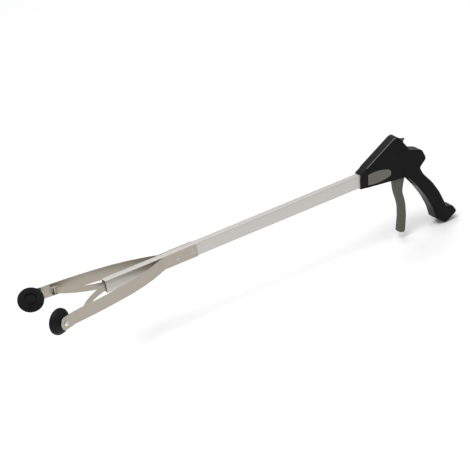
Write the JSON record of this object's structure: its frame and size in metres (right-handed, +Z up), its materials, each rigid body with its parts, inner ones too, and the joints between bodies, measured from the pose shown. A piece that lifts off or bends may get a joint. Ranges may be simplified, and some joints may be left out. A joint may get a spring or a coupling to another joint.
{
  "type": "reacher grabber",
  "caption": "Hand reacher with a pistol grip, squeeze trigger, rectangular aluminium tube and two spring strip jaws that end in rubber cups.",
  "frame": {"origin": "centre of the hand grip", "axes": "+X from the jaws along the tube towards the hand, +Y to the holder's left, +Z up, away from the grip's foot"},
  "size_m": [0.6908, 0.1278, 0.1625],
  "materials": {
    "tube_aluminium": "clear satin extrusion",
    "black_plastic": "moulded, light grain",
    "housing_plastic": "dark grey green moulded, light grain",
    "trigger_plastic": "olive grey, moulded",
    "inlay_rubber": "grey, fine ribs",
    "cup_rubber": "soft black, slight sheen",
    "strip_steel": "beige grey spring strip, satin",
    "pin_steel": "plain satin",
    "screw_steel": "bright zinc"
  },
  "bodies": {
    "frame": {"tube": "tube_aluminium", "tube_collar": "black_plastic", "housing_left": "housing_plastic", "housing_right": "housing_plastic", "side_inlay_left": "inlay_rubber", "side_inlay_right": "inlay_rubber", "housing_screws": "screw_steel", "trigger_pivot_pin": "pin_steel", "trigger_spring": "pin_steel", "latch_pin": "pin_steel", "arm_root_left": "strip_steel", "arm_root_right": "strip_steel", "arm_rivets": "pin_steel"},
    "trigger_lever": {"trigger": "trigger_plastic", "yoke_pin": "pin_steel"},
    "latch": {"lock_latch": "black_plastic"},
    "rod": {"pull_rod": "pin_steel", "rod_eye": "black_plastic", "crosshead": "black_plastic"},
    "jaw_left": {"arm_left": "strip_steel", "link_bracket_left": "strip_steel", "link_outer_pin_left": "pin_steel", "cup_left": "cup_rubber", "cup_screw_left": "screw_steel", "cup_nut_left": "pin_steel"},
    "strut_left": {"link_left": "strip_steel", "link_inner_pin_left": "pin_steel"},
    "jaw_right": {"arm_right": "strip_steel", "link_bracket_right": "strip_steel", "link_outer_pin_right": "pin_steel", "cup_right": "cup_rubber", "cup_screw_right": "screw_steel", "cup_nut_right": "pin_steel"},
    "strut_right": {"link_right": "strip_steel", "link_inner_pin_right": "pin_steel"}
  },
  "joints": [
    {"name": "trigger_pivot", "type": "hinge", "parent": "frame", "child": "trigger_lever", "pos_m": [-0.046, 0, 0.09382], "axis": [0, -1, 0], "range_deg": [0, 16.82], "stiffness_Nm_per_rad": 0.4, "springref_deg": -8.59},
    {"name": "rod_slide", "type": "slide", "parent": "frame", "child": "rod", "axis": [1, 0, 0], "range_m": [0, 0.01]},
    {"name": "arm_left_flex", "type": "hinge", "parent": "frame", "child": "jaw_left", "pos_m": [-0.458, 0.0142, 0.06], "axis": [0, 0, 1], "range_deg": [0, 14.3]},
    {"name": "arm_right_flex", "type": "hinge", "parent": "frame", "child": "jaw_right", "pos_m": [-0.458, -0.0142, 0.06], "axis": [0, 0, -1], "range_deg": [0, 14.3]},
    {"name": "link_left_pivot", "type": "hinge", "parent": "jaw_left", "child": "strut_left", "pos_m": [-0.595, 0.0465, 0.06], "axis": [0, 0, 1], "range_deg": [0, 14.5]},
    {"name": "link_right_pivot", "type": "hinge", "parent": "jaw_right", "child": "strut_right", "pos_m": [-0.595, -0.0465, 0.06], "axis": [0, 0, -1], "range_deg": [0, 14.5]},
    {"name": "latch_rock", "type": "hinge", "parent": "frame", "child": "latch", "pos_m": [-0.0324, 0, 0.089], "axis": [0, -1, 0], "range_deg": [0, 8]}
  ],
  "couplings": [
    {"joint": "rod_slide", "follows": "trigger_pivot", "m_per_rad": 0.03388},
    {"joint": "arm_left_flex", "follows": "trigger_pivot", "ratio": 0.84587},
    {"joint": "link_left_pivot", "follows": "trigger_pivot", "ratio": 0.85547},
    {"joint": "arm_right_flex", "follows": "trigger_pivot", "ratio": 0.84587},
    {"joint": "link_right_pivot", "follows": "trigger_pivot", "ratio": 0.85547}
  ]
}
